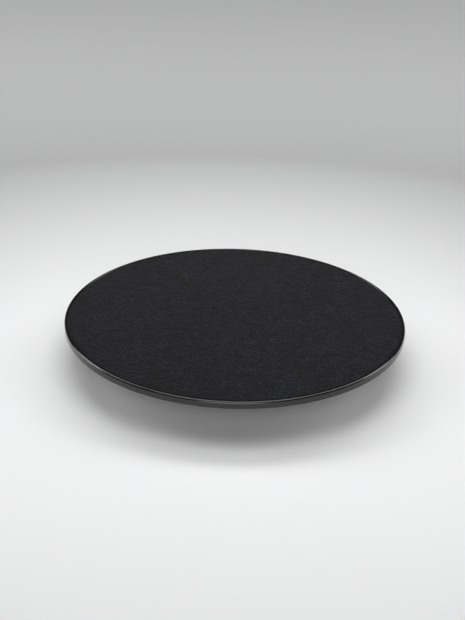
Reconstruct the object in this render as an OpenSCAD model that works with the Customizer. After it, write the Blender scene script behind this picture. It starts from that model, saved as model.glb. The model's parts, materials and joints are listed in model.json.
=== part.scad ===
// Motorised turntable display stand. A round platter with a glued felt mat turns on a geared
// spindle and runs on rollers. The low round base under it holds the gear train, the motor,
// the battery bay, the switch and the adaptor socket. Z is up, the feet stand on z = 0, and
// the origin is on the spindle's axis.

/* [Platter] */
// Diameter over the rim
platter_d = 355; // [300:5:400]
// Height of the rim band
rim_h = 7; // [6:0.5:9]
// Width of the raised lip round the mat
lip_w = 3.5; // [2.5:0.5:6]
// Radius of the rim's rounded shoulder
shoulder_r = 1.8; // [1:0.2:2.4]
// Thickness of the felt mat
mat_t = 1.2; // [0.8:0.1:1.4]
// Radial ribs under the platter
rib_count = 24; // [12:4:36]

/* [Base] */
// Diameter of the base
base_d = 180; // [180:2:210]
// Wall thickness of the two base shells
wall_t = 2.2; // [2:0.1:2.6]
// Radius of the base's rounded top edge
base_edge_r = 4; // [2.5:0.5:6]
// Height of the rubber feet under the base
foot_h = 2; // [2:0.5:4]
// Diameter of a rubber foot
foot_d = 14; // [10:1:18]

/* [Rollers] */
// Radius of a roller
roller_r = 5; // [4.5:0.1:5.2]
// Distance of the rollers from the spindle
track_r = 75; // [74:0.5:76]

/* [Gear train] */
// Teeth of the spindle gear
output_teeth = 60; // [58:1:60]
// Teeth of the two middle wheels
wheel_teeth = 48; // [46:1:48]
// Teeth of the first wheel, driven by the motor
first_teeth = 60; // [58:1:60]
// Teeth of every pinion
pinion_teeth = 12; // [12:1:13]
// Play between the teeth, measured along the pitch circle
backlash = 0.14; // [0.1:0.02:0.2]

/* [Hidden] */
$fn = 96;
// Straight pieces in a large and in a small rounded edge
edge_steps = 18;
small_edge_steps = 6;

// Heights of the base
floor_t = 2.2;
base_z = foot_h;
floor_z = base_z + floor_t;
split_z = base_z + 18;
deck_t = 2.4;
deck_z = base_z + 32.4;
deck_under = deck_z - deck_t;
base_r = base_d / 2;
base_chamfer = 1.5;
inner_r = base_r - wall_t;

// Heights of the platter
rim_gap = 3.6;
rim_z = deck_z + rim_gap;
top_z = rim_z + rim_h;
mat_recess = 1.6;
mat_z = top_z - mat_recess;
plate_t = 2.4;
plate_z = mat_z - plate_t;
platter_r = platter_d / 2;
skirt_t = 2.4;
mat_gap = 0.6;
rib_t = 1.6;
rib_z = rim_z + 0.8;
ring_rib_radii = [112, 146];
track_w = 12;
track_z = rim_z + 0.2;

// Rollers and their axles, which lie along the platter's radius
roller_gap = 0.2;
roller_z = track_z - roller_gap - roller_r;
roller_w = 5;
roller_side_gap = 0.3;
roller_axle_r = 1.5;
roller_angles = [30, 150, 270];
lug_t = 2.8;
lug_half = roller_w / 2 + roller_side_gap;

// Spindle, hub and bushes
spindle_r = 4;
flat_x = 3.2;
spindle_z0 = floor_z + 0.85;
spindle_z1 = plate_z - 0.2;
hub_r = 26;
hub_flange_t = 3.2;
hub_z = plate_z - hub_flange_t - 1.6;
hub_barrel_r = 9;
hub_screw_circle = 17;
bush_clear = 0.03;
bush_r = 7;
washer_t = 0.8;
drive_pin_r = 0.8;
drive_pin_len = 13.4;
spindle_screw_len = 11;
hub_screw_len = 5.4;

// Screw sizes
m3_r = 1.5;
m3_head_r = 2.8;
m3_head_h = 1.9;
m4_r = 2;
m4_head_r = 4;
m4_head_h = 2.2;
m2_r = 1;
m2_head_r = 1.9;
m2_head_h = 1.3;

// Gear sizes: modules, layers and places of the axles
axle_clear = 0.05;
pressure_angle = 20;
output_mod = 0.9;
third_mod = 0.8;
second_mod = 0.6;
first_mod = 0.5;
axle3_r = 1.5;
axle_r = 1;

function polar(r, a) = [r * cos(a), r * sin(a)];
function centre_distance(m, n_a, n_b) = m * (n_a + n_b) / 2;

gear3_angle = 150;
gear2_angle = 30;
gear1_angle = 40;
motor_angle = 0;
gear3_xy = polar(centre_distance(output_mod, output_teeth, pinion_teeth), gear3_angle);
gear2_xy = gear3_xy + polar(centre_distance(third_mod, wheel_teeth, pinion_teeth), gear2_angle);
gear1_xy = gear2_xy + polar(centre_distance(second_mod, wheel_teeth, pinion_teeth), gear1_angle);
motor_xy = gear1_xy + polar(centre_distance(first_mod, first_teeth, pinion_teeth), motor_angle);

// The turn that puts a pinion in mesh with a wheel at phase 0, where it lies at angle alpha from it
function mesh_phase(alpha, n_wheel, n_pinion) =
    alpha + 180 + 180 / n_pinion + alpha * n_wheel / n_pinion;

pinion3_phase = mesh_phase(gear3_angle, output_teeth, pinion_teeth);
pinion2_phase = mesh_phase(gear2_angle, wheel_teeth, pinion_teeth);
pinion1_phase = mesh_phase(gear1_angle, wheel_teeth, pinion_teeth);
motor_phase = mesh_phase(motor_angle, first_teeth, pinion_teeth);

tray_z = base_z + 4;
tray_floor_t = 1.8;
tray_floor_z = tray_z + tray_floor_t;
layer1_z = tray_z + 3;
layer2_z = tray_z + 7.4;
layer3_z = tray_z + 11.9;
cover_z = tray_z + 16.5;
cover_t = 1.8;
layer4_z = tray_z + 19;
gear_hub_top = deck_under - 1;
drive_pin_z = gear_hub_top - 1.1;

// Gearbox outline and its four screw posts
tray_x0 = -51.5;
tray_x1 = 40;
tray_y0 = -10.8;
tray_y1 = 58.5;
tray_wall = 1.8;
post_r = 3.2;
post_inset = 4;
gearbox_posts = [
    for (x = [tray_x0 + post_inset, tray_x1 - post_inset], y = [tray_y0 + post_inset, tray_y1 - post_inset])
        [x, y]
];

// Motor, hung with its shaft down from a shelf of the gearbox
motor_r = 12.2;
motor_h = 12.3;
shelf_z = tray_z + 7;
shelf_t = 1.6;
motor_z = shelf_z + shelf_t;
motor_screw_y = 8.5;
can_t = 0.8;

// Screws that join the two base shells
base_screw_r = 80;
base_screw_seat = base_z + 3.6;
base_screw_len = 22;
base_screw_angles = [0, 60, 120, 180, 235, 305];
boss_r = 4.6;
foot_angles = [30, 150, 210, 330];
foot_circle = 78;
foot_recess = 0.8;

// Battery bay: four round cells side by side along X
cell_r = 7.1;
cell_len = 49.5;
cell_pitch = 15;
cell_z = base_z + 11.2;
nub_r = 2.7;
nub_len = 1.2;
bay_x = 31;
bay_y0 = -72.9;
bay_y1 = -12.9;
bay_wall = 1.6;
bay_top = base_z + 18.4;
rail_wall = 3;
contact_t = 0.4;
spring_wire_r = 0.35;

// Sliding door of the battery bay
door_half = 30.2;
door_end_half = 32.4;
door_clear = 0.3;
tongue_half = 32.2;
tongue_t = 1.25;
door_end_r = 86.4;
door_end_h = 6;
door_rail_half = 28.5;
door_rail_y = -80;
grip_half = 12;
grip_y = -76;
grip_pitch = 3;
grip_w = 1.4;
grip_depth = 0.6;
grip_count = 5;

// Rear panel with the adaptor socket and the switch
panel_half = 22;
panel_y = 86.5;
panel_t = 2.2;
board_z = floor_z + 1;
board_t = 1.6;
board_y0 = 64.5;
board_y1 = 83.8;
board_half = 22;
board_top = board_z + board_t;
board_screw_x = 19.5;
board_screw_ys = [67, 81.5];
board_screw_len = 3.9;
capacitor_xy = [-18.2, 74];
diode_xy = [-1, 74.5];
jack_x = -10;
jack_axis_z = board_top + 6.5;
jack_back_y = 71.6;
jack_bore_r = 3.15;
jack_bore_y = 77.5;
jack_barrel_r = 4;
jack_pin_r = 1.05;
jack_pin_y = 86;
jack_root_r = 0.8;
jack_root_y = jack_bore_y - 2;
switch_x = 10;
switch_z = board_top + 4.6;
switch_travel = 4;
knob_w = 3.6;
knob_h = 3.2;

// Wires and their ends
wire_r = 0.7;
socket_y = 65.5;
socket_z = board_top + 3.2;
motor_socket_x = 1.25;
battery_socket_x = 12.5;
wire_pitch = 2.5;
wire_lane_x = 47;
wire_lane_y = 60.2;
wire_lane_z = 8;
terminal_x = 4;
terminal_y = 6;
tab_x = 36.5;

// ---- shape helpers ----

function arc(cx, cy, r, a0, a1, steps) =
    [for (i = [0:steps]) let (a = a0 + (a1 - a0) * i / steps) [cx + r * cos(a), cy + r * sin(a)]];

module ring(r_in, r_out, z0, z1) {
    translate([0, 0, z0])
        difference() {
            cylinder(r = r_out, h = z1 - z0);
            translate([0, 0, -1]) cylinder(r = r_in, h = z1 - z0 + 2);
        }
}

module rod(r, z0, z1) {
    translate([0, 0, z0]) cylinder(r = r, h = z1 - z0);
}

module block(x0, x1, y0, y1, z0, z1) {
    translate([x0, y0, z0]) cube([x1 - x0, y1 - y0, z1 - z0]);
}

module at_xy(p) {
    translate([p[0], p[1], 0]) children();
}

module at_polar(r, a) {
    rotate([0, 0, a]) translate([r, 0, 0]) children();
}

// A pan-head screw standing on its thread end, its head's seat at z = 0 and its head above
module pan_screw(r, head_r, head_h, length) {
    difference() {
        union() {
            rod(r, -length, 0);
            rotate_extrude()
                polygon(concat([[0, 0], [head_r, 0]],
                    arc(head_r - head_h * 0.5, head_h * 0.5, head_h * 0.5, 0, 90, 4),
                    [[0, head_h]]));
        }
        cross_recess(head_r * 0.55, head_h, head_h * 0.6);
    }
}

// A countersunk screw, its flat head's top at z = 0
module flat_screw(r, head_r, head_h, length) {
    difference() {
        union() {
            rod(r, -length, -head_h);
            translate([0, 0, -head_h]) cylinder(r1 = r, r2 = head_r, h = head_h);
        }
        cross_recess(head_r * 0.55, 0, head_h * 0.55);
    }
}

module cross_recess(half, z_top, depth) {
    slot = half * 0.45;
    for (a = [0, 90])
        rotate([0, 0, a])
            translate([-half, -slot / 2, z_top - depth]) cube([2 * half, slot, depth + 1]);
}

// ---- swept wires ----

function unit(v) = v / norm(v);

function spline_point(p, i, t) =
    let (last = len(p) - 1, a = p[max(i - 1, 0)], b = p[i], c = p[i + 1], d = p[min(i + 2, last)])
    0.5 * (2 * b + (c - a) * t + (2 * a - 5 * b + 4 * c - d) * t * t
        + (3 * b - 3 * c + d - a) * t * t * t);

function spline(p, steps) =
    concat([for (i = [0:len(p) - 2], s = [0:steps - 1]) spline_point(p, i, s / steps)],
        [p[len(p) - 1]]);

function heading(path, i) = unit(path[min(i + 1, len(path) - 1)] - path[max(i - 1, 0)]);

// A round tube along a path; side is any direction that the path never runs along
module sweep(path, r, sides, side) {
    count = len(path);
    points = [
        for (i = [0:count - 1])
            let (t = heading(path, i), n = unit(cross(t, side)), b = cross(t, n))
                for (k = [0:sides - 1]) path[i] + r * (cos(360 * k / sides) * n + sin(360 * k / sides) * b)
    ];
    walls = [
        for (i = [0:count - 2], k = [0:sides - 1])
            let (a = i * sides + k, b = i * sides + (k + 1) % sides)
                [a, a + sides, b + sides, b]
    ];
    first = [for (k = [0:sides - 1]) k];
    last = [for (k = [sides - 1:-1:0]) (count - 1) * sides + k];
    polyhedron(points, concat(walls, [first, last]), convexity = 6);
}

// ---- gear helpers ----

// Flank points of one tooth: radius and half angle, from the root or base circle to the tip
function flank(n, m, tip_share, steps) =
    let (
        rp = m * n / 2,
        rb = rp * cos(pressure_angle),
        rf = rp - 1.25 * m,
        ra = rp + tip_share * m,
        inv_p = tan(pressure_angle) * 180 / PI - pressure_angle,
        half = 90 / n - backlash / 4 / rp * 180 / PI + inv_p,
        r0 = max(rb, rf)
    )
    concat(rf < rb ? [[rf, half]] : [],
        [for (i = [0:steps])
            let (r = r0 + (ra - r0) * i / steps, t = sqrt(max(0, r * r / rb / rb - 1)))
                [r, half - (t * 180 / PI - atan(t))]]);

function gear_outline(n, m, tip_share, steps) =
    let (f = flank(n, m, tip_share, steps), last = len(f) - 1)
    [for (i = [0:n - 1])
        each concat(
            [for (j = [0:last]) polar(f[j][0], 360 * i / n - f[j][1])],
            [for (j = [last:-1:0]) polar(f[j][0], 360 * i / n + f[j][1])])];

module toothed_wheel(n, m, phase, z, face) {
    translate([0, 0, z])
        rotate([0, 0, phase])
            linear_extrude(height = face) polygon(gear_outline(n, m, 0.9, 2));
}

module toothed_pinion(n, m, phase, z, face) {
    translate([0, 0, z])
        rotate([0, 0, phase])
            linear_extrude(height = face) polygon(gear_outline(n, m, 0.95, 4));
}

// A moulded wheel: toothed rim, thinner web with round holes, and a hub
module moulded_wheel(n, m, phase, z, face, hub, holes) {
    rim_in = m * n / 2 - 1.25 * m - 1.6;
    sink = face * 0.22;
    hole_r = (rim_in - hub) * 0.3;
    difference() {
        toothed_wheel(n, m, phase, z, face);
        ring(hub, rim_in, z - 1, z + sink);
        ring(hub, rim_in, z + face - sink, z + face + 1);
        for (i = [0:holes - 1])
            at_polar((rim_in + hub) / 2, 360 * i / holes) rod(hole_r, z - 1, z + face + 1);
    }
}

// ---- the turning group ----

module display_mat() {
    color([0.16, 0.16, 0.17])
        rod(platter_r - lip_w - mat_gap, mat_z, mat_z + mat_t);
}

module platter() {
    edge = 0.5;
    profile = concat(
        [[0, plate_z], [platter_r - skirt_t, plate_z], [platter_r - skirt_t, rim_z + edge]],
        [[platter_r - skirt_t + edge, rim_z], [platter_r - edge, rim_z], [platter_r, rim_z + edge]],
        arc(platter_r - shoulder_r, top_z - shoulder_r, shoulder_r, 0, 90, edge_steps),
        arc(platter_r - lip_w + edge, top_z - edge, edge, 90, 180, small_edge_steps),
        [[platter_r - lip_w, mat_z], [0, mat_z]]);
    color([0.05, 0.05, 0.055])
        difference() {
            union() {
                rotate_extrude($fn = 180) polygon(profile);
                ring(track_r - track_w / 2, track_r + track_w / 2, track_z, plate_z + 0.2);
                for (r = ring_rib_radii)
                    ring(r - rib_t / 2, r + rib_t / 2, rib_z, plate_z + 0.2);
                for (i = [0:rib_count - 1])
                    rotate([0, 0, 360 * i / rib_count])
                        block(hub_r + 1.5, platter_r - skirt_t + 0.3, -rib_t / 2, rib_t / 2,
                            rib_z, plate_z + 0.2);
            }
            translate([0, 0, mat_z - m4_head_h]) cylinder(r1 = m4_r, r2 = m4_head_r, h = m4_head_h);
            rod(m4_r, plate_z - 1, mat_z - m4_head_h);
            for (i = [0:3])
                at_polar(hub_screw_circle, 45 + 90 * i) {
                    translate([0, 0, mat_z - m3_head_h]) cylinder(r1 = m3_r, r2 = m3_head_r, h = m3_head_h);
                    rod(m3_r, plate_z - 1, mat_z - m3_head_h);
                }
        }
}

module platter_hub() {
    color([0.12, 0.12, 0.13])
        difference() {
            union() {
                rod(hub_r, plate_z - hub_flange_t, plate_z);
                rod(hub_barrel_r, hub_z, plate_z - 1);
            }
            difference() {
                rod(spindle_r, hub_z - 1, plate_z + 1);
                block(flat_x, spindle_r + 1, -spindle_r, spindle_r, hub_z - 2, plate_z + 2);
            }
            for (i = [0:3])
                at_polar(hub_screw_circle, 45 + 90 * i) rod(m3_r, hub_z - 1, plate_z + 1);
        }
}

module platter_screws() {
    color([0.55, 0.55, 0.57])
        for (i = [0:3])
            at_polar(hub_screw_circle, 45 + 90 * i)
                translate([0, 0, mat_z]) flat_screw(m3_r, m3_head_r, m3_head_h, hub_screw_len);
}

module spindle_screw() {
    color([0.55, 0.55, 0.57])
        translate([0, 0, mat_z]) flat_screw(m4_r, m4_head_r, m4_head_h, spindle_screw_len);
}

module spindle() {
    chamfer = 0.6;
    outline = [[0, spindle_z0], [spindle_r - chamfer, spindle_z0], [spindle_r, spindle_z0 + chamfer],
        [spindle_r, spindle_z1 - chamfer], [spindle_r - chamfer, spindle_z1], [0, spindle_z1]];
    color([0.7, 0.71, 0.73])
        difference() {
            rotate_extrude() polygon(outline);
            block(flat_x, spindle_r + 1, -spindle_r, spindle_r, hub_z, spindle_z1 + 1);
            rod(m4_r, mat_z - spindle_screw_len, spindle_z1 + 1);
            drive_pin_shape(drive_pin_len + 6);
        }
}

module output_gear() {
    hub = 7;
    color([0.92, 0.91, 0.87])
        difference() {
            union() {
                moulded_wheel(output_teeth, output_mod, 0, layer4_z, 4, hub + 1.5, 6);
                rod(hub, layer4_z, gear_hub_top);
            }
            rod(spindle_r, layer4_z - 1, gear_hub_top + 1);
            drive_pin_shape(drive_pin_len + 6);
        }
}

module drive_pin_shape(length) {
    translate([0, 0, drive_pin_z]) rotate([0, 90, 0]) cylinder(r = drive_pin_r, h = length, center = true);
}

module drive_pin() {
    color([0.75, 0.75, 0.77]) drive_pin_shape(drive_pin_len);
}

// ---- rollers ----

module roller(i) {
    edge = 0.6;
    half = roller_w / 2;
    outline = [[roller_axle_r + axle_clear, -half], [roller_r - edge, -half], [roller_r, -half + edge],
        [roller_r, half - edge], [roller_r - edge, half], [roller_axle_r + axle_clear, half]];
    color([0.93, 0.93, 0.9])
        rotate([0, 0, roller_angles[i]])
            translate([track_r, 0, roller_z])
                rotate([0, 90, 0])
                    rotate_extrude() polygon(outline);
}

module roller_1() {
    roller(0);
}

module roller_2() {
    roller(1);
}

module roller_3() {
    roller(2);
}

module roller_axles() {
    reach = lug_half + lug_t - 0.5;
    color([0.75, 0.75, 0.77])
        for (a = roller_angles)
            rotate([0, 0, a])
                translate([track_r, 0, roller_z])
                    rotate([0, 90, 0]) cylinder(r = roller_axle_r, h = 2 * reach, center = true);
}

// ---- base shells ----

module base_upper() {
    inner_edge_r = base_edge_r - wall_t;
    boss_z = split_z;
    rib_low = deck_under - 2.4;
    lug_top = roller_z + roller_axle_r + 1.5;
    lug_low = deck_under - 4.5;
    slot_half = roller_r + 0.6;
    axle_reach = lug_half + lug_t - 0.5;
    profile = concat(
        [[0, deck_under]],
        arc(inner_r - inner_edge_r, deck_under - inner_edge_r, inner_edge_r, 90, 0, small_edge_steps),
        [[inner_r, split_z], [base_r, split_z]],
        arc(base_r - base_edge_r, deck_z - base_edge_r, base_edge_r, 0, 90, edge_steps),
        [[0, deck_z]]);
    color([0.07, 0.07, 0.075])
        difference() {
            union() {
                rotate_extrude($fn = 180) polygon(profile);
                rod(11, deck_z - 1, deck_z + 0.8);
                rod(9, deck_under - 0.6, deck_under + 1);
                at_xy(gear3_xy) rod(4, deck_under - 2, deck_under + 1);
                for (a = base_screw_angles) {
                    at_polar(base_screw_r, a) rod(boss_r - 0.4, boss_z, deck_under + 1);
                    rotate([0, 0, a])
                        block(output_mod * output_teeth / 2 + 4, base_screw_r, -0.8, 0.8,
                            rib_low, deck_under + 1);
                }
                for (a = roller_angles)
                    rotate([0, 0, a])
                        block(track_r - lug_half - lug_t, track_r + lug_half + lug_t,
                            -slot_half - 1.8, slot_half + 1.8, lug_low, deck_z);
                for (a = roller_angles, side = [-1, 1])
                    rotate([0, 0, a])
                        translate([track_r + side * (lug_half + lug_t / 2), 0, 0])
                            block(-lug_t / 2, lug_t / 2, -3.4, 3.4, deck_z - 1, lug_top);
            }
            rod(bush_r, deck_under - 2, deck_z + 2);
            at_xy(gear3_xy) rod(axle3_r, deck_under - 3, deck_under - 0.4);
            for (a = base_screw_angles)
                at_polar(base_screw_r, a) rod(m3_r, boss_z - 1, boss_z + 9);
            for (a = roller_angles)
                rotate([0, 0, a]) {
                    block(track_r - lug_half, track_r + lug_half, -slot_half, slot_half,
                        lug_low - 1, lug_top + 1);
                    translate([track_r - axle_reach, 0, roller_z])
                        rotate([0, 90, 0]) cylinder(r = roller_axle_r, h = 2 * axle_reach + 2);
                }
        }
}

module upper_bush() {
    color([0.72, 0.56, 0.3])
        difference() {
            union() {
                rod(bush_r, deck_under - 0.6, deck_z + 0.8);
                rod(bush_r + 1.5, deck_z + 0.8, deck_z + 1.4);
            }
            rod(spindle_r + bush_clear, deck_under - 2, deck_z + 3);
        }
}

// Outline of the lower shell: floor, wall, and the lip that centres the upper shell
function lower_profile() = [
    [0, base_z], [base_r - base_chamfer, base_z], [base_r, base_z + base_chamfer], [base_r, split_z],
    [inner_r - 0.2, split_z], [inner_r - 0.2, split_z + 1.6], [inner_r - 1.6, split_z + 1.6],
    [inner_r - 1.6, split_z - 4], [inner_r, split_z - 5.6], [inner_r, floor_z], [0, floor_z]];

// Everything that stands up inside the lower shell
module lower_fittings() {
    block(-bay_x - rail_wall, bay_x + rail_wall, bay_y0 - bay_wall, bay_y1 + bay_wall,
        base_z, bay_top + bay_wall);
    intersection() {
        block(-bay_x - rail_wall, bay_x + rail_wall, -base_r, bay_y0, base_z, floor_z + 4);
        rod(inner_r + 0.5, 0, split_z);
    }
    intersection() {
        block(-panel_half - 1.5, panel_half + 1.5, panel_y - panel_t, base_r, base_z, split_z);
        rod(inner_r + 0.5, 0, split_z);
    }
    for (a = base_screw_angles)
        at_polar(base_screw_r, a) rod(boss_r, base_z + 1, split_z);
    for (p = gearbox_posts)
        at_xy(p) rod(post_r + 0.8, base_z + 1, tray_z);
    for (x = [-board_screw_x, board_screw_x], y = board_screw_ys)
        at_xy([x, y]) rod(2.8, base_z + 1, board_z);
    ring(5.8, 8.5, base_z + 1, tray_z - 0.2);
    for (a = foot_angles)
        at_polar(foot_circle, a) rod(foot_d / 2 + 1.2, base_z + 1, floor_z + 0.8);
}

module base_lower() {
    color([0.07, 0.07, 0.075])
        difference() {
            union() {
                rotate_extrude($fn = 180) polygon(lower_profile());
                lower_fittings();
            }
            battery_bay_space();
            rear_panel_space();
            for (a = base_screw_angles)
                at_polar(base_screw_r, a) {
                    rod(m3_head_r + 0.4, base_z - 1, base_screw_seat);
                    rod(m3_r + 0.2, base_screw_seat - 0.6, split_z + 1);
                }
            for (p = gearbox_posts)
                at_xy(p) rod(m3_r, base_z + 1, tray_z + 1);
            for (x = [-board_screw_x, board_screw_x], y = board_screw_ys)
                at_xy([x, y]) rod(m2_r, base_z + 0.8, board_z + 1);
            for (a = foot_angles)
                at_polar(foot_circle, a) rod(foot_d / 2, base_z - 1, base_z + foot_recess);
        }
}

// The bay, the door's opening and grooves, and the slots for the two solder tabs
module battery_bay_space() {
    block(-bay_x, bay_x, bay_y0, bay_y1, base_z - 1, bay_top);
    block(-door_half - door_clear, door_half + door_clear, -base_r - 1, bay_y1, base_z - 1, floor_z + 0.1);
    block(-tongue_half - door_clear, tongue_half + door_clear, -base_r - 1, bay_y1,
        floor_z, floor_z + tongue_t + 0.4);
    difference() {
        block(-door_end_half - 0.2, door_end_half + 0.2, -base_r - 1, -base_r / 2,
            base_z - 1, base_z + door_end_h + 0.2);
        rod(door_end_r - 0.4, 0, split_z);
    }
    for (i = [0, 3])
        block(bay_x - 1, bay_x + rail_wall + 1, cell_y(i) - 1.6, cell_y(i) + 1.6,
            cell_z - 0.3, cell_z + 0.3);
}

// The flat outside face at the rear, the socket's hole and the switch's window
module rear_panel_space() {
    block(-panel_half, panel_half, panel_y, base_r + 1, base_z + 1.8, split_z - 1.5);
    translate([jack_x, panel_y + 1, jack_axis_z])
        rotate([90, 0, 0]) cylinder(r = jack_barrel_r + 0.05, h = panel_t + 2);
    block(switch_x - switch_travel / 2 - knob_w / 2 - 0.6, switch_x + switch_travel / 2 + knob_w / 2 + 0.6,
        panel_y - panel_t - 1, panel_y + 1, switch_z - knob_h / 2 - 0.5, switch_z + knob_h / 2 + 0.5);
}

module lower_bush() {
    color([0.72, 0.56, 0.3])
        ring(spindle_r + bush_clear, 6, tray_z, tray_z + 5.8);
}

module thrust_washer() {
    color([0.85, 0.82, 0.7])
        rod(5.6, floor_z, floor_z + washer_t);
}

module base_screws() {
    color([0.6, 0.6, 0.62])
        for (a = base_screw_angles)
            at_polar(base_screw_r, a)
                translate([0, 0, base_screw_seat])
                    rotate([180, 0, 0]) pan_screw(m3_r, m3_head_r, m3_head_h, base_screw_len);
}

module rubber_feet() {
    edge = 0.7;
    outline = [[0, 0], [foot_d / 2 - edge - 0.3, 0], [foot_d / 2 - 0.3, edge],
        [foot_d / 2, base_z], [foot_d / 2, base_z + foot_recess], [0, base_z + foot_recess]];
    color([0.03, 0.03, 0.03])
        for (a = foot_angles)
            at_polar(foot_circle, a) rotate_extrude() polygon(outline);
}

// ---- gearbox ----

module gearbox_tray() {
    color([0.85, 0.85, 0.83])
        difference() {
            union() {
                difference() {
                    block(tray_x0, tray_x1, tray_y0, tray_y1, tray_z, cover_z);
                    block(tray_x0 + tray_wall, tray_x1 - tray_wall, tray_y0 + tray_wall,
                        tray_y1 - tray_wall, tray_floor_z, cover_z + 1);
                }
                for (p = gearbox_posts)
                    at_xy(p) rod(post_r, tray_z, cover_z);
                rod(8.5, tray_z, tray_z + 6);
                at_xy(gear1_xy) rod(3, tray_z, layer1_z - 0.2);
                at_xy(gear2_xy) rod(1.9, tray_z, layer2_z - 0.2);
                at_xy(gear3_xy) rod(3, tray_z, layer3_z - 0.2);
                block(motor_xy[0] - motor_r, tray_x1 - 1, motor_xy[1] - motor_r - 1.5, tray_y1 - 1,
                    shelf_z, shelf_z + shelf_t);
            }
            for (p = gearbox_posts)
                at_xy(p) rod(m3_r, tray_z - 1, cover_z + 1);
            rod(6, tray_z - 1, tray_z + 7);
            at_xy(gear1_xy) rod(axle_r, tray_z + 0.8, layer1_z + 1);
            at_xy(gear2_xy) rod(axle_r, tray_z + 0.8, layer2_z + 1);
            at_xy(gear3_xy) rod(axle3_r, tray_z + 0.8, layer3_z + 1);
            at_xy(motor_xy) rod(3.2, shelf_z - 1, shelf_z + shelf_t + 1);
            for (s = [-1, 1])
                at_xy(motor_xy + [0, s * motor_screw_y]) rod(m2_r + 0.1, shelf_z - 1, shelf_z + shelf_t + 1);
        }
}

module gearbox_cover() {
    color([0.85, 0.85, 0.83])
        difference() {
            union() {
                block(tray_x0, tray_x1, tray_y0, tray_y1, cover_z, cover_z + cover_t);
                for (p = [gear1_xy, gear2_xy])
                    at_xy(p) rod(2.6, cover_z - 0.4, cover_z + 0.1);
            }
            rod(spindle_r + 0.8, cover_z - 1, cover_z + cover_t + 1);
            at_xy(gear3_xy) rod(7.2, cover_z - 1, cover_z + cover_t + 1);
            for (p = [gear1_xy, gear2_xy])
                at_xy(p) rod(axle_r, cover_z - 1, cover_z + 1.2);
            at_xy(motor_xy) rod(motor_r + 0.3, cover_z - 1, cover_z + cover_t + 1);
            for (p = gearbox_posts)
                at_xy(p) rod(m3_r + 0.1, cover_z - 1, cover_z + cover_t + 1);
        }
}

module gearbox_screws() {
    color([0.6, 0.6, 0.62])
        for (p = gearbox_posts)
            at_xy(p)
                translate([0, 0, cover_z + cover_t])
                    pan_screw(m3_r, m3_head_r, m3_head_h, cover_z + cover_t - base_z - 1);
}

module gear_axles() {
    color([0.75, 0.75, 0.77]) {
        at_xy(gear1_xy) rod(axle_r, tray_z + 0.8, cover_z + 1.2);
        at_xy(gear2_xy) rod(axle_r, tray_z + 0.8, cover_z + 1.2);
        at_xy(gear3_xy) rod(axle3_r, tray_z + 0.8, deck_under - 0.4);
    }
}

module compound_gear_1() {
    color([0.95, 0.95, 0.92])
        at_xy(gear1_xy)
            difference() {
                union() {
                    moulded_wheel(first_teeth, first_mod, 0, layer1_z, 2.8, 5, 5);
                    toothed_pinion(pinion_teeth, second_mod, pinion1_phase, layer1_z + 2.6, 5.4);
                }
                rod(axle_r + axle_clear, layer1_z - 1, layer3_z);
            }
}

module compound_gear_2() {
    color([0.95, 0.95, 0.92])
        at_xy(gear2_xy)
            difference() {
                union() {
                    moulded_wheel(wheel_teeth, second_mod, 0, layer2_z, 3.2, 6.2, 5);
                    toothed_pinion(pinion_teeth, third_mod, pinion2_phase, layer2_z + 3, 5.2);
                }
                rod(axle_r + axle_clear, layer2_z - 1, cover_z);
            }
}

module compound_gear_3() {
    color([0.95, 0.95, 0.92])
        at_xy(gear3_xy)
            difference() {
                union() {
                    moulded_wheel(wheel_teeth, third_mod, 0, layer3_z, 3.3, 6.2, 5);
                    rod(4.2, layer3_z + 3, layer4_z);
                    toothed_pinion(pinion_teeth, output_mod, pinion3_phase, layer4_z - 0.4, 4.8);
                }
                rod(axle3_r + axle_clear, layer3_z - 1, layer4_z + 5);
            }
}

// ---- motor ----

module motor_can() {
    color([0.72, 0.73, 0.75])
        at_xy(motor_xy)
            difference() {
                union() {
                    rod(motor_r, motor_z, motor_z + motor_h);
                    rod(3, motor_z - 1.4, motor_z + 1);
                }
                rod(motor_r - can_t, motor_z + can_t + 0.4, motor_z + motor_h + 1);
                rod(1 + axle_clear, motor_z - 2, motor_z + 3);
                for (s = [-1, 1])
                    translate([0, s * motor_screw_y, 0]) rod(m2_r, motor_z - 1, motor_z + 3);
            }
}

module motor_end_cap() {
    color([0.1, 0.1, 0.1])
        at_xy(motor_xy)
            difference() {
                rod(motor_r - can_t, motor_z + motor_h - 1.6, motor_z + motor_h - 0.2);
                for (s = [-1, 1])
                    translate([s * terminal_x, terminal_y, 0])
                        block(-0.25, 0.25, -1.2, 1.2, motor_z, motor_z + motor_h + 1);
            }
}

module motor_terminals() {
    color([0.8, 0.7, 0.4])
        for (s = [-1, 1])
            at_xy(motor_xy + [s * terminal_x, terminal_y])
                block(-0.25, 0.25, -1.2, 1.2, motor_z + motor_h - 1.6, motor_z + motor_h + 2.2);
}

module motor_shaft() {
    color([0.75, 0.76, 0.78])
        at_xy(motor_xy) rod(1, layer1_z - 0.8, motor_z + 8);
}

module motor_pinion() {
    color([0.78, 0.62, 0.3])
        at_xy(motor_xy)
            difference() {
                toothed_pinion(pinion_teeth, first_mod, motor_phase, layer1_z - 0.4, 3.6);
                rod(1, layer1_z - 1, layer1_z + 4);
            }
}

module motor_screws() {
    color([0.6, 0.6, 0.62])
        for (s = [-1, 1])
            at_xy(motor_xy + [0, s * motor_screw_y])
                translate([0, 0, shelf_z])
                    rotate([180, 0, 0]) pan_screw(m2_r, m2_head_r, m2_head_h, shelf_t + 1.1);
}

// ---- battery bay ----

function cell_y(i) = (bay_y0 + bay_y1) / 2 + (1.5 - i) * cell_pitch;
function cell_side(i) = i % 2 == 0 ? 1 : -1;

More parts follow.
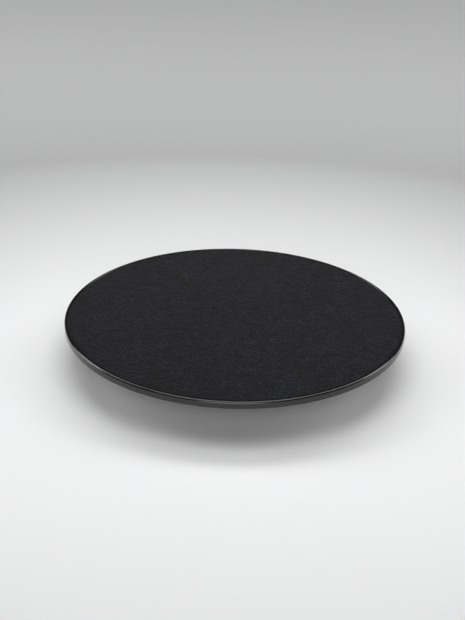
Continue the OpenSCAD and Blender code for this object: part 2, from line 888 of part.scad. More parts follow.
module battery_door() {
    color([0.07, 0.07, 0.075])
        difference() {
            union() {
                intersection() {
                    block(-door_half, door_half, -base_r, bay_y1 - door_clear, base_z, floor_z);
                    rod(base_r - base_chamfer, 0, split_z);
                }
                intersection() {
                    block(-door_end_half, door_end_half, -base_r, -base_r / 2, base_z, base_z + door_end_h);
                    rotate_extrude($fn = 180)
                        polygon([[door_end_r, base_z], [base_r - base_chamfer, base_z],
                            [base_r, base_z + base_chamfer], [base_r, split_z], [door_end_r, split_z]]);
                }
                for (s = [-1, 1])
                    mirror([s > 0 ? 0 : 1, 0, 0]) {
                        block(door_rail_half, door_half, door_rail_y, bay_y1 - 1,
                            base_z + 1, floor_z + tongue_t + 0.15);
                        block(door_rail_half, tongue_half, door_rail_y, bay_y1 - 1,
                            floor_z + 0.15, floor_z + tongue_t + 0.15);
                    }
            }
            for (i = [0:grip_count - 1])
                translate([0, grip_y + grip_pitch * i, 0])
                    block(-grip_half, grip_half, 0, grip_w, base_z - 1, base_z + grip_depth);
        }
}

module battery_cells() {
    groove = 0.25;
    outline = [[0, -cell_len / 2], [cell_r - 0.6, -cell_len / 2], [cell_r, -cell_len / 2 + 0.6],
        [cell_r, cell_len / 2 - 1], [cell_r - groove, cell_len / 2 - 0.6],
        [cell_r - 0.8, cell_len / 2], [nub_r, cell_len / 2], [nub_r, cell_len / 2 + nub_len - 0.3],
        [nub_r - 0.3, cell_len / 2 + nub_len], [0, cell_len / 2 + nub_len]];
    color([0.2, 0.22, 0.25])
        for (i = [0:3])
            translate([0, cell_y(i), cell_z])
                rotate([0, 90 * cell_side(i), 0]) rotate_extrude() polygon(outline);
}

// One contact plate behind the cells first to last, on side s
module contact_plate(s, first, last) {
    y0 = cell_y(last) - 5;
    y1 = cell_y(first) + 5;
    x0 = s > 0 ? bay_x - contact_t : -bay_x;
    block(x0, x0 + contact_t, y0, y1, cell_z - 5.5, cell_z + 5.5);
}

// A conical coil spring between the plate and the cell's flat end
module contact_spring(i) {
    turns = 3;
    steps = 10;
    gap = 0.02;
    x0 = cell_len / 2 + spring_wire_r + gap;
    x1 = bay_x - contact_t - spring_wire_r - gap;
    path = [
        for (k = [0:turns * steps])
            let (f = k / (turns * steps), r = 2.8 + 1.8 * f, a = 360 * k / steps)
                [x0 + (x1 - x0) * f, r * cos(a), r * sin(a)]
    ];
    translate([0, cell_y(i), cell_z])
        rotate([0, 0, cell_side(i) > 0 ? 180 : 0]) sweep(path, spring_wire_r, 6, [1, 0, 0]);
}

module battery_contacts() {
    button_x = cell_len / 2 + nub_len + 0.05;
    color([0.82, 0.82, 0.8]) {
        contact_plate(1, 0, 0);
        contact_plate(1, 1, 2);
        contact_plate(1, 3, 3);
        contact_plate(-1, 0, 1);
        contact_plate(-1, 2, 3);
        for (i = [0:3]) {
            translate([0, cell_y(i), cell_z])
                rotate([0, 90 * cell_side(i), 0]) rod(3, button_x, bay_x - contact_t);
            contact_spring(i);
        }
        for (i = [0, 3])
            block(bay_x - contact_t, tab_x, cell_y(i) - 1.5, cell_y(i) + 1.5, cell_z - 0.2, cell_z + 0.2);
    }
}

// ---- circuit board, socket and switch ----

module circuit_board() {
    color([0.13, 0.3, 0.18])
        difference() {
            block(-board_half, board_half, board_y0, board_y1, board_z, board_top);
            for (x = [-board_screw_x, board_screw_x], y = board_screw_ys)
                at_xy([x, y]) rod(m2_r + 0.2, board_z - 1, board_top + 1);
        }
}

module board_screws() {
    color([0.6, 0.6, 0.62])
        for (x = [-board_screw_x, board_screw_x], y = board_screw_ys)
            translate([x, y, board_top]) pan_screw(m2_r, m2_head_r, m2_head_h, board_screw_len);
}

module capacitor() {
    r = 3.1;
    h = 10.5;
    groove = 0.3;
    color([0.12, 0.14, 0.3])
        translate([capacitor_xy[0], capacitor_xy[1], board_top])
            rotate_extrude()
                polygon([[0, 0], [r - groove, 0], [r, 0.5], [r, 1.6], [r - groove, 2], [r, 2.4],
                    [r, h - 0.4], [r - 0.4, h], [0, h]]);
}

module diode() {
    color([0.09, 0.09, 0.09])
        translate([diode_xy[0], diode_xy[1], board_top + 2]) {
            rotate([0, 90, 0]) cylinder(r = 1.3, h = 5, center = true);
            for (s = [-1, 1]) {
                translate([s * 3.2, 0, 0]) rotate([0, 90, 0]) cylinder(r = 0.35, h = 1.6, center = true);
                translate([s * 3.65, 0, 0]) rod(0.35, -2, 0.35);
            }
        }
}

module wire_sockets() {
    half = 3.6;
    color([0.9, 0.88, 0.8])
        for (x = [motor_socket_x, battery_socket_x])
            difference() {
                block(x - half, x + half, socket_y, socket_y + 5, board_top, board_top + 5.6);
                for (s = [-1, 1])
                    block(x + s * wire_pitch / 2 - 0.4, x + s * wire_pitch / 2 + 0.4,
                        socket_y + 1.5, socket_y + 3.5, board_top + 4.6, board_top + 6);
            }
}

module dc_jack() {
    color([0.06, 0.06, 0.06])
        difference() {
            union() {
                block(jack_x - 4.5, jack_x + 4.5, jack_back_y, panel_y - panel_t, board_top, board_top + 11);
                translate([jack_x, panel_y + 0.5, jack_axis_z])
                    rotate([90, 0, 0]) cylinder(r = jack_barrel_r, h = panel_t + 1);
            }
            translate([jack_x, panel_y + 1, jack_axis_z])
                rotate([90, 0, 0]) cylinder(r = jack_bore_r, h = panel_y + 1 - jack_bore_y);
            translate([jack_x, jack_bore_y + 1, jack_axis_z])
                rotate([90, 0, 0]) cylinder(r = jack_root_r, h = jack_bore_y + 1 - jack_root_y);
        }
}

module dc_pin() {
    root = jack_bore_y - jack_root_y;
    length = jack_pin_y - jack_root_y;
    tip = 0.4;
    color([0.8, 0.8, 0.78])
        translate([jack_x, jack_root_y, jack_axis_z])
            rotate([-90, 0, 0])
                rotate_extrude()
                    polygon([[0, 0], [jack_root_r, 0], [jack_root_r, root], [jack_pin_r, root],
                        [jack_pin_r, length - tip], [jack_pin_r - tip, length], [0, length]]);
}

module switch_body() {
    half = 6.5;
    y0 = 77.6;
    y1 = panel_y - panel_t;
    slot = switch_travel / 2 + knob_w / 2 + 0.4;
    color([0.3, 0.3, 0.31])
        difference() {
            block(switch_x - half, switch_x + half, y0, y1, board_top, board_top + 8);
            block(switch_x - half + 1, switch_x + half - 1, y0 + 1.2, y1 - 1.2,
                switch_z - 2.5, switch_z + 2.5);
            block(switch_x - slot, switch_x + slot, y1 - 2, y1 + 1,
                switch_z - knob_h / 2 - 0.3, switch_z + knob_h / 2 + 0.3);
        }
}

module switch_knob() {
    x = switch_x - switch_travel / 2;
    end_y = panel_y + 2.1;
    color([0.05, 0.05, 0.05])
        difference() {
            union() {
                block(x - 2.6, x + 2.6, 79.1, panel_y - panel_t - 1.5, switch_z - 2.2, switch_z + 2.2);
                block(x - knob_w / 2, x + knob_w / 2, 80, end_y,
                    switch_z - knob_h / 2, switch_z + knob_h / 2);
            }
            for (i = [-1:1])
                block(x + i * 1.1 - 0.25, x + i * 1.1 + 0.25, end_y - 0.5, end_y + 1,
                    switch_z - knob_h, switch_z + knob_h);
        }
}

// ---- internal wires ----

function wire_end(x) = [x, socket_y - 0.15, socket_z];

// From a solder tab of the battery bay, in a lane round the gearbox, to its socket
function battery_wire(i, lane, x_end) =
    let (
        lane_x = wire_lane_x + lane * wire_pitch,
        lane_y = wire_lane_y + lane * 1.8,
        turn = [tab_x + 5.5, cell_y(i) + 9, 10.4],
        straight = [lane_x, 6, wire_lane_z]
    )
    concat([[tab_x, cell_y(i), cell_z], [tab_x + 2.5, cell_y(i) + 2, cell_z - 0.6]],
        [for (f = [0:3]) turn + (straight - turn) * f / 3],
        [[lane_x, 22, wire_lane_z], [lane_x, 38, wire_lane_z], [lane_x - 1, 51, wire_lane_z],
        [lane_x - 4, lane_y - 0.6, 8.3], [34, lane_y, 8.8], [x_end + 12, lane_y, 9.2],
        [x_end + 3, lane_y + 0.3, 9.6], [x_end, socket_y - 1.3, socket_z], wire_end(x_end)]);

// From a motor terminal over the gearbox's rear wall and down to its socket
function motor_wire(side, x_end) =
    let (terminal = motor_xy + [side * terminal_x, terminal_y])
    [[terminal[0], terminal[1] + 1.9, 28.2], [terminal[0], 51, 28], [20 + side * 2, 57.5, 27.4],
    [16 + side * 2.4, 61, 24], [8 + side * 2, 61.6, 15], [x_end + 0.8, 62.4, 10.8], wire_end(x_end)];

module wires_red() {
    color([0.7, 0.05, 0.05]) {
        sweep(spline(battery_wire(0, 0, battery_socket_x - wire_pitch / 2), 4), wire_r, 8, [0.1, 0.2, 1]);
        sweep(spline(motor_wire(-1, motor_socket_x - wire_pitch / 2), 4), wire_r, 8, [1, 0.1, 0.1]);
    }
}

module wires_black() {
    color([0.03, 0.03, 0.03]) {
        sweep(spline(battery_wire(3, 1, battery_socket_x + wire_pitch / 2), 4), wire_r, 8, [0.1, 0.2, 1]);
        sweep(spline(motor_wire(1, motor_socket_x + wire_pitch / 2), 4), wire_r, 8, [1, 0.1, 0.1]);
    }
}

display_mat();
platter();
platter_hub();
platter_screws();
spindle_screw();
spindle();
output_gear();
drive_pin();
roller_1();
roller_2();
roller_3();
roller_axles();
base_upper();
upper_bush();
base_lower();
lower_bush();
thrust_washer();
base_screws();
rubber_feet();
gearbox_tray();
gearbox_cover();
gearbox_screws();
gear_axles();
compound_gear_1();
compound_gear_2();
compound_gear_3();
motor_can();
motor_end_cap();
motor_terminals();
motor_shaft();
motor_pinion();
motor_screws();
battery_door();
battery_cells();
battery_contacts();
circuit_board();
board_screws();
capacitor();
diode();
wire_sockets();
dc_jack();
dc_pin();
switch_body();
switch_knob();
wires_red();
wires_black();
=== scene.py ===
"""Looks of the motorised display turntable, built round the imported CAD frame."""
import json
import math

import bpy
from mathutils import Matrix, Vector, noise


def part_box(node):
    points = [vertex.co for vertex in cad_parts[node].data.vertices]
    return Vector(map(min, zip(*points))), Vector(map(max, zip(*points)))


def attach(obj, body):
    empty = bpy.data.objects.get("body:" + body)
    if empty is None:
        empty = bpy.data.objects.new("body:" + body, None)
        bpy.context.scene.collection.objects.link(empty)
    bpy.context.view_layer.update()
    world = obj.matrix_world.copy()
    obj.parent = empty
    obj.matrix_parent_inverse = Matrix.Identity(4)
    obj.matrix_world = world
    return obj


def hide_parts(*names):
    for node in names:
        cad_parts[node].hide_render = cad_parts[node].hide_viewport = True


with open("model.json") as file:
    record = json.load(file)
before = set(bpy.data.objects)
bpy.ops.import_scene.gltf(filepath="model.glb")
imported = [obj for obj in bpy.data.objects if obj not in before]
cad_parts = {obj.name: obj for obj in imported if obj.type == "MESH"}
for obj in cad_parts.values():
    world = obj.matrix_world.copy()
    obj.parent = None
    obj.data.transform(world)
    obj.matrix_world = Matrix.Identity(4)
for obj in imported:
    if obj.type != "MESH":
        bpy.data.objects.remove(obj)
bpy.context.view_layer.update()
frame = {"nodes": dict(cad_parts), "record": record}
NODES = frame["nodes"]
SLOT_OF = {s["node"]: s["material_slot"] for s in frame["record"]["subparts"]}

# ---- camera, at the photograph's angle ----

VIEW_ELEVATION = math.radians(26.5171)
VIEW_DISTANCE = 1.794603
VIEW_ROLL = math.radians(1.6037)
LOOK_AT = Vector((-0.0028389, 0.0, 0.0549771))
LENS_MM = 100.0
SENSOR_MM = 36.0


def make_camera():
    data = bpy.data.cameras.new("camera")
    data.lens = LENS_MM
    data.sensor_width = SENSOR_MM
    data.sensor_fit = "AUTO"
    data.clip_end = 50.0
    obj = bpy.data.objects.new("camera", data)
    bpy.context.scene.collection.objects.link(obj)
    away = Vector((0.0, -math.cos(VIEW_ELEVATION), math.sin(VIEW_ELEVATION)))
    turn = away.to_track_quat("Z", "Y").to_matrix() @ Matrix.Rotation(VIEW_ROLL, 3, "Z")
    obj.matrix_world = Matrix.Translation(LOOK_AT + away * VIEW_DISTANCE) @ turn.to_4x4()
    bpy.context.scene.camera = obj


# ---- materials ----


# sockets of the Mix node that mixes colours
MIX_FACTOR, MIX_A, MIX_B, MIX_RESULT = 0, 6, 7, 2


class Shader:
    """One node material: a Principled shader and small helpers that feed it."""

    def __init__(self, name, color, roughness, metallic=0.0, **settings):
        self.mat = bpy.data.materials.new(name)
        self.mat.use_nodes = True
        self.tree = self.mat.node_tree
        self.bsdf = self.tree.nodes["Principled BSDF"]
        self.set("Base Color", (*color, 1.0))
        self.set("Roughness", roughness)
        self.set("Metallic", metallic)
        for key, value in settings.items():
            self.set(key.replace("_", " "), value)
        self.coords = None
        self.normal_out = None
        self.mat.diffuse_color = (*color, 1.0)

    def set(self, socket, value):
        self.bsdf.inputs[socket].default_value = value

    def node(self, kind, **props):
        n = self.tree.nodes.new(kind)
        for key, value in props.items():
            setattr(n, key, value)
        return n

    def link(self, a, b):
        self.tree.links.new(a, b)

    def place(self, scale=(1.0, 1.0, 1.0)):
        """Object coordinates in metres, stretched by scale."""
        if self.coords is None:
            self.coords = self.node("ShaderNodeTexCoord")
        if scale == (1.0, 1.0, 1.0):
            return self.coords.outputs["Object"]
        m = self.node("ShaderNodeMapping")
        m.inputs["Scale"].default_value = scale
        self.link(self.coords.outputs["Object"], m.inputs["Vector"])
        return m.outputs["Vector"]

    def noise(self, scale, detail=2.0, rough=0.5, stretch=(1.0, 1.0, 1.0), distortion=0.0):
        n = self.node("ShaderNodeTexNoise")
        n.inputs["Scale"].default_value = scale
        n.inputs["Detail"].default_value = detail
        n.inputs["Roughness"].default_value = rough
        n.inputs["Distortion"].default_value = distortion
        self.link(self.place(stretch), n.inputs["Vector"])
        return n.outputs["Fac"]

    def cells(self, scale, distance="EUCLIDEAN", stretch=(1.0, 1.0, 1.0)):
        n = self.node("ShaderNodeTexVoronoi", distance=distance)
        n.inputs["Scale"].default_value = scale
        self.link(self.place(stretch), n.inputs["Vector"])
        return n.outputs["Distance"]

    def ramp(self, value, stops):
        n = self.node("ShaderNodeValToRGB")
        e = n.color_ramp.elements
        while len(e) < len(stops):
            e.new(0.5)
        for item, (pos, col) in zip(e, stops):
            item.position = pos
            item.color = (*col, 1.0)
        self.link(value, n.inputs["Fac"])
        return n.outputs["Color"]

    def spread(self, value, low, high, at_low=0.0, at_high=1.0):
        """Maps low..high to at_low..at_high, and holds the ends."""
        n = self.node("ShaderNodeMapRange")
        n.inputs["From Min"].default_value = low
        n.inputs["From Max"].default_value = high
        n.inputs["To Min"].default_value = at_low
        n.inputs["To Max"].default_value = at_high
        self.link(value, n.inputs["Value"])
        return n.outputs["Result"]

    def math(self, op, a, b):
        n = self.node("ShaderNodeMath", operation=op)
        for socket, v in zip(n.inputs, (a, b)):
            if isinstance(v, (int, float)):
                socket.default_value = v
            else:
                self.link(v, socket)
        return n.outputs["Value"]

    def mix(self, fac, a, b, blend="MIX"):
        n = self.node("ShaderNodeMix", data_type="RGBA", blend_type=blend)
        for key, v in ((MIX_FACTOR, fac), (MIX_A, a), (MIX_B, b)):
            if isinstance(v, (int, float)):
                n.inputs[key].default_value = v
            elif isinstance(v, tuple):
                n.inputs[key].default_value = (*v, 1.0)
            else:
                self.link(v, n.inputs[key])
        return n.outputs[MIX_RESULT]

    def color(self, out):
        self.link(out, self.bsdf.inputs["Base Color"])

    def rough(self, out):
        self.link(out, self.bsdf.inputs["Roughness"])

    def soften(self, radius):
        """Rounds sharp edges in the shading, and returns how close a point is to such an edge."""
        n = self.node("ShaderNodeBevel", samples=4)
        n.inputs["Radius"].default_value = radius
        self.normal_out = n.outputs["Normal"]
        self.link(self.normal_out, self.bsdf.inputs["Normal"])
        geometry = self.node("ShaderNodeNewGeometry")
        turned = self.node("ShaderNodeVectorMath", operation="DOT_PRODUCT")
        self.link(n.outputs["Normal"], turned.inputs[0])
        self.link(geometry.outputs["Normal"], turned.inputs[1])
        return self.spread(turned.outputs["Value"], 0.99, 0.85)

    def bump(self, height, strength, depth):
        """Adds a bump of depth metres; later bumps lie on the earlier ones."""
        n = self.node("ShaderNodeBump")
        n.inputs["Strength"].default_value = strength
        n.inputs["Distance"].default_value = depth
        self.link(height, n.inputs["Height"])
        if self.normal_out is not None:
            self.link(self.normal_out, n.inputs["Normal"])
        self.normal_out = n.outputs["Normal"]
        self.link(self.normal_out, self.bsdf.inputs["Normal"])


def tone(color, k):
    return tuple(c * k for c in color)


def felt_material():
    """Short black nap: tufts and curls of fibre with painted shade in their low places, soft patches where it
    lies differently, and light lint.
    """
    base = (0.0044, 0.0047, 0.0069)
    s = Shader("felt", base, 1.0, Sheen_Weight=0.06, Sheen_Roughness=0.45, Specular_IOR_Level=0.1)
    patches = s.noise(17.0, 3.0, 0.55, distortion=0.8)
    cloud = s.noise(85.0, 3.0, 0.6)
    curl = s.noise(320.0, 2.0, 0.6, stretch=(1.0, 0.6, 1.0))
    grain = s.noise(760.0, 3.0, 0.7, stretch=(1.0, 0.48, 1.0))
    fibre = s.cells(1500.0, stretch=(1.0, 0.55, 1.0))
    tint = s.ramp(patches, [(0.34, (0.004, 0.0038, 0.0057)), (0.5, base), (0.66, (0.0047, 0.0054, 0.008))])
    # painted shade: the colour darkens where the curl and grain bumps are low, in the nap's hollows; the
    # cloud factor adds random tone
    depth = s.math("MULTIPLY", s.spread(curl, 0.38, 0.62, 0.5, 1.5), s.spread(grain, 0.4, 0.6, 0.08, 1.85))
    depth = s.math("MULTIPLY", depth, s.spread(cloud, 0.38, 0.62, 0.7, 1.3))
    color = s.mix(1.0, tint, depth, "MULTIPLY")
    lint = s.spread(fibre, 0.0, 0.1, 1.0, 0.0)
    s.color(s.mix(s.math("MULTIPLY", lint, 0.42), color, (0.06, 0.06, 0.065)))
    s.bump(curl, 0.9, 0.0009)
    s.bump(grain, 0.5, 0.0004)
    s.bump(fibre, 0.35, 0.0002)
    return s.mat


def gloss_material():
    """Glossy black moulding, with faint flow waves and hairline rubs."""
    base = (0.0026, 0.0027, 0.003)
    s = Shader("gloss_black", base, 0.1, IOR=1.56)
    wave = s.noise(14.0, 2.0, 0.5)
    rub = s.noise(60.0, 4.0, 0.65, stretch=(1.0, 14.0, 1.0))
    s.rough(s.math("ADD", s.spread(wave, 0.3, 0.7, 0.055, 0.085), s.spread(rub, 0.5, 0.8, 0.0, 0.07)))
    s.color(s.ramp(wave, [(0.3, tone(base, 0.8)), (0.7, tone(base, 1.25))]))
    s.bump(wave, 0.12, 0.0003)
    return s.mat


# radius in metres that sharp edges of mouldings and metal are softened to
EDGE_SOFTNESS = 0.00025


def moulded_material(name, color, roughness, grain_scale=1500.0, grain_depth=0.00012, change=0.15,
                     **settings):
    """Spark-eroded moulding: a fine pebble grain, slight changes of tone and worn edges."""
    s = Shader(name, color, roughness, **settings)
    edge = s.soften(EDGE_SOFTNESS)
    cloud = s.noise(30.0, 3.0, 0.6)
    grain = s.noise(grain_scale, 2.0, 0.6)
    scuff = s.noise(90.0, 4.0, 0.7, stretch=(1.0, 1.0, 3.0))
    worn = s.math("MULTIPLY", edge, s.spread(scuff, 0.35, 0.65, 0.15, 1.0))
    body = s.ramp(cloud, [(0.3, tone(color, 1 - change)), (0.7, tone(color, 1 + change))])
    body = s.mix(s.spread(grain, 0.3, 0.7), s.mix(1.0, body, (0.82, 0.82, 0.82), "MULTIPLY"), body)
    s.color(s.mix(s.math("MULTIPLY", worn, 0.6), body, tone(color, 1 + 4 * change)))
    s.rough(s.math("SUBTRACT", s.spread(grain, 0.25, 0.75, roughness - 0.07, roughness + 0.09),
                   s.math("MULTIPLY", worn, 0.16)))
    s.bump(grain, 0.55, grain_depth)
    return s.mat


def metal_material(name, color, roughness):
    """Drawn or turned metal: fine streaks and a light, uneven dulling."""
    s = Shader(name, color, roughness, 1.0)
    s.soften(EDGE_SOFTNESS)
    streaks = s.noise(420.0, 3.0, 0.6, stretch=(1.0, 1.0, 20.0))
    dull = s.noise(140.0, 3.0, 0.6)
    s.color(s.mix(s.spread(dull, 0.35, 0.75), color, tone(color, 0.78)))
    s.rough(s.math("ADD", s.spread(streaks, 0.2, 0.8, roughness - 0.1, roughness + 0.1),
                   s.spread(dull, 0.4, 0.8, 0.0, 0.1)))
    s.bump(streaks, 0.25, 0.00005)
    return s.mat


def board_material():
    """Green solder mask over a square pattern that suggests tracks."""
    base = (0.018, 0.115, 0.05)
    s = Shader("board_green", base, 0.32, Coat_Weight=0.3)
    pattern = s.cells(330.0, distance="MANHATTAN")
    s.color(s.ramp(pattern, [(0.3, tone(base, 1.9)), (0.36, base), (0.9, tone(base, 0.8))]))
    s.rough(s.spread(s.noise(200.0), 0.3, 0.7, 0.26, 0.4))
    s.bump(pattern, 0.3, 0.0001)
    return s.mat


def cell_material():
    """Shrunk-on cell jacket: a dark glossy sleeve, slightly uneven in tone and gloss."""
    s = Shader("cell_jacket", (0.03, 0.03, 0.034), 0.25, Coat_Weight=0.5)
    grain = s.noise(160.0, 2.0)
    s.color(s.ramp(grain, [(0.3, (0.02, 0.022, 0.028)), (0.7, (0.04, 0.042, 0.05))]))
    s.rough(s.spread(grain, 0.3, 0.7, 0.18, 0.32))
    return s.mat


MATERIALS = {
    "felt": felt_material(),
    "gloss_black": gloss_material(),
    "matt_black": moulded_material("matt_black", (0.021, 0.021, 0.022), 0.52),
    "rubber": moulded_material("rubber", (0.016, 0.016, 0.016), 0.82, 700.0, 0.00015, 0.3),
    "steel": metal_material("steel", (0.62, 0.62, 0.64), 0.3),
    "bronze": moulded_material("bronze", (0.5, 0.33, 0.16), 0.42, 2600.0, 0.00006, 0.2, Metallic=1.0),
    "brass": metal_material("brass", (0.78, 0.58, 0.26), 0.26),
    "nylon": moulded_material("nylon", (0.78, 0.765, 0.71), 0.42, 500.0, 0.00004, 0.04,
                              Subsurface_Weight=0.15, Subsurface_Scale=0.002),
    "gearbox_grey": moulded_material("gearbox_grey", (0.5, 0.51, 0.51), 0.5, 1200.0, 0.0001, 0.06),
    "board_green": board_material(),
    "cell_jacket": cell_material(),
    "nickel": metal_material("nickel", (0.72, 0.7, 0.66), 0.2),
    "ivory": moulded_material("ivory", (0.72, 0.67, 0.54), 0.46, 900.0, 0.00006, 0.05),
    "component_black": moulded_material("component_black", (0.018, 0.018, 0.019), 0.45,
                                        1100.0, 0.00008, 0.25),
    "red_wire": moulded_material("red_wire", (0.42, 0.012, 0.012), 0.36, 400.0, 0.00005, 0.12),
    "black_wire": moulded_material("black_wire", (0.014, 0.014, 0.014), 0.36, 400.0, 0.00005, 0.2),
}


def dress(obj, slot_name):
    obj.data.materials.clear()
    obj.data.materials.append(MATERIALS[slot_name])


# ---- meshes ----


def mesh_object(name, verts, faces, smooth=True):
    mesh = bpy.data.meshes.new(name)
    mesh.from_pydata(verts, [], faces)
    mesh.validate()
    mesh.update()
    for p in mesh.polygons:
        p.use_smooth = smooth
    obj = bpy.data.objects.new(name, mesh)
    bpy.context.scene.collection.objects.link(obj)
    return obj


def add_piece(obj, body, slot_name, *nodes):
    """Gives a new piece the material of its slot and its body, and hides the CAD nodes that it stands for."""
    dress(obj, slot_name)
    if nodes:
        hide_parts(*nodes)
    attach(obj, body)


def ring_fill(counts, starts):
    """Triangles between rings of points whose counts differ; ring 0 is one point."""
    tie = 1e-9
    faces = []
    for k in range(len(counts) - 1):
        n0, n1, s0, s1 = counts[k], counts[k + 1], starts[k], starts[k + 1]
        if n0 == 1:
            faces += [(s0, s1 + j, s1 + (j + 1) % n1) for j in range(n1)]
            continue
        i = j = 0
        while i < n0 or j < n1:
            if j < n1 and (i >= n0 or (j + 0.5) * n0 <= (i + 0.5) * n1 + tie):
                faces.append((s0 + i % n0, s1 + j % n1, s1 + (j + 1) % n1))
                j += 1
            else:
                faces.append((s0 + i % n0, s1 + j % n1, s0 + (i + 1) % n0))
                i += 1
    return faces


def rounded(corners, steps=4, hold=0.00012, small=0.0004):
    """An open profile of (r, z, fillet radius) corners, each rounded, with holding points beside the fillets.

    A fillet up to the small radius has that many steps, and a larger one has more in proportion.
    """
    out = []
    for i, (r, z, fillet) in enumerate(corners):
        here = Vector((r, z))
        if i in (0, len(corners) - 1) or fillet <= 0:
            out.append((r, z))
            continue
        before = (Vector(corners[i - 1][:2]) - here).normalized()
        after = (Vector(corners[i + 1][:2]) - here).normalized()
        half = before.angle(after) / 2
        reach = fillet / math.tan(half)
        centre = here + (before + after).normalized() * (fillet / math.sin(half))
        a, b = here + before * reach, here + after * reach
        out.append(tuple(a + before * hold))
        start = math.atan2(a.y - centre.y, a.x - centre.x)
        sweep = math.atan2(b.y - centre.y, b.x - centre.x) - start
        sweep = (sweep + math.pi) % (2 * math.pi) - math.pi
        count = max(steps, int(steps * fillet / small))
        for k in range(count + 1):
            t = start + sweep * k / count
            out.append((centre.x + fillet * math.cos(t), centre.y + fillet * math.sin(t)))
        out.append(tuple(b + after * hold))
    return out


def lathe(name, profile, segments):
    """Turns a profile round Z into a closed solid: one that starts and ends on the axis, or a closed loop."""
    solid = profile[0][0] == 0.0
    ring = profile[1:-1] if solid else profile
    verts = [(r * math.cos(2 * math.pi * j / segments), r * math.sin(2 * math.pi * j / segments), z)
             for r, z in ring for j in range(segments)]
    faces = []
    for k in range(len(ring) - 1 if solid else len(ring)):
        a, b = k * segments, (k + 1) % len(ring) * segments
        faces += [(a + j, a + (j + 1) % segments, b + (j + 1) % segments, b + j) for j in range(segments)]
    if solid:
        last = (len(ring) - 1) * segments
        faces.append(tuple(reversed(range(segments))))
        faces.append(tuple(range(last, last + segments)))
    return mesh_object(name, verts, faces)


# ---- the platter ----

MM = 0.001
PLATTER_LOW, PLATTER_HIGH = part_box("platter")
MAT_LOW, MAT_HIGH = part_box("display_mat")
RIM_R, RIM_LOW, RIM_TOP = PLATTER_HIGH[0], PLATTER_LOW[2], PLATTER_HIGH[2]
MAT_R, MAT_BOTTOM, MAT_TOP = MAT_HIGH[0], MAT_LOW[2], MAT_HIGH[2]
LIP_INNER_R, SKIRT_INNER_R = 174.0 * MM, 175.1 * MM
# heights of the recess's floor and of the undersides of plate, ribs and roller track
RECESS_Z, PLATE_Z, RIB_Z, TRACK_Z = MAT_BOTTOM, 41.0 * MM, 38.8 * MM, 38.2 * MM
TRACK_R, TRACK_HALF = 75.0 * MM, 6.0 * MM
RING_RIB_RS, RIB_HALF = (112.0 * MM, 146.0 * MM), 0.8 * MM
# rings of points that divide the flat plate either side of the hub's screws
PLATE_RING_RS = (11.0 * MM, 23.0 * MM)
# screws: radius of the shank's hole, radius and depth of the countersunk head
SPINDLE_SCREW = (2.0 * MM, 4.0 * MM, 2.2 * MM)
HUB_SCREW = (1.5 * MM, 2.8 * MM, 1.9 * MM)
HUB_SCREWS, HUB_CIRCLE = 4, 17.0 * MM
# edges sharper than this, in degrees, are shaded as creases
CREASE, RIB_CREASE = 35.0, 40.0


def screw_hole(angle, shank_r, head_r, head_h):
    """A countersunk hole through the plate on the hub's screw circle, as a solid to cut away."""
    over, segments = 0.5 * MM, 48
    # turned a little, so that no point of the hole falls on a line of the plate's mesh
    turn = 0.04
    low, seat = PLATE_Z - over, RECESS_Z - head_h
    wide = head_r + over * (head_r - shank_r) / head_h
    hole = lathe("screw_hole", [(0.0, low), (shank_r, low), (shank_r, seat), (wide, RECESS_Z + over),
                                (0.0, RECESS_Z + over)], segments)
    place = Matrix.Translation((HUB_CIRCLE * math.cos(angle), HUB_CIRCLE * math.sin(angle), 0.0))
    hole.data.transform(place @ Matrix.Rotation(turn, 4, "Z"))
    return hole


def cut(obj, holes):
    """Takes the hole solids out of the piece's mesh, and removes them."""
    for hole in holes:
        step = obj.modifiers.new("hole", "BOOLEAN")
        step.operation, step.solver, step.object = "DIFFERENCE", "EXACT", hole
    done = bpy.data.meshes.new_from_object(obj.evaluated_get(bpy.context.evaluated_depsgraph_get()))
    obj.modifiers.clear()
    obj.data = done
    for hole in holes:
        bpy.data.objects.remove(hole)
    done.set_sharp_from_angle(angle=math.radians(CREASE))
    return obj


def make_platter():
    """The moulding's round part: rim, lip, plate, track and ring ribs, with its small fillets."""
    shank_r, head_r, head_h = SPINDLE_SCREW
    inner_ring, outer_ring = PLATE_RING_RS
    corners = [(shank_r, PLATE_Z, 0.0), (inner_ring, PLATE_Z, 0.0), (outer_ring, PLATE_Z, 0.0)]
    raised = [(TRACK_R, TRACK_HALF, TRACK_Z)] + [(r, RIB_HALF, RIB_Z) for r in RING_RIB_RS]
    for centre, half, low in raised:
        corners += [(centre - half, PLATE_Z, 0.4 * MM), (centre - half, low, 0.25 * MM),
                    (centre + half, low, 0.25 * MM), (centre + half, PLATE_Z, 0.4 * MM)]
    corners += [(SKIRT_INNER_R, PLATE_Z, 0.5 * MM), (SKIRT_INNER_R, RIM_LOW, 0.4 * MM),
                (RIM_R, RIM_LOW, 0.5 * MM), (RIM_R, RIM_TOP, 1.8 * MM), (LIP_INNER_R, RIM_TOP, 0.5 * MM),
                (LIP_INNER_R, RECESS_Z, 0.2 * MM), (outer_ring, RECESS_Z, 0.0), (inner_ring, RECESS_Z, 0.0),
                (head_r, RECESS_Z, 0.0), (shank_r, RECESS_Z - head_h, 0.0)]
    shell = lathe("platter_shell", rounded(corners), 360)
    angles = (2 * math.pi * (i + 0.5) / HUB_SCREWS for i in range(HUB_SCREWS))
    return cut(shell, [screw_hole(angle, *HUB_SCREW) for angle in angles])


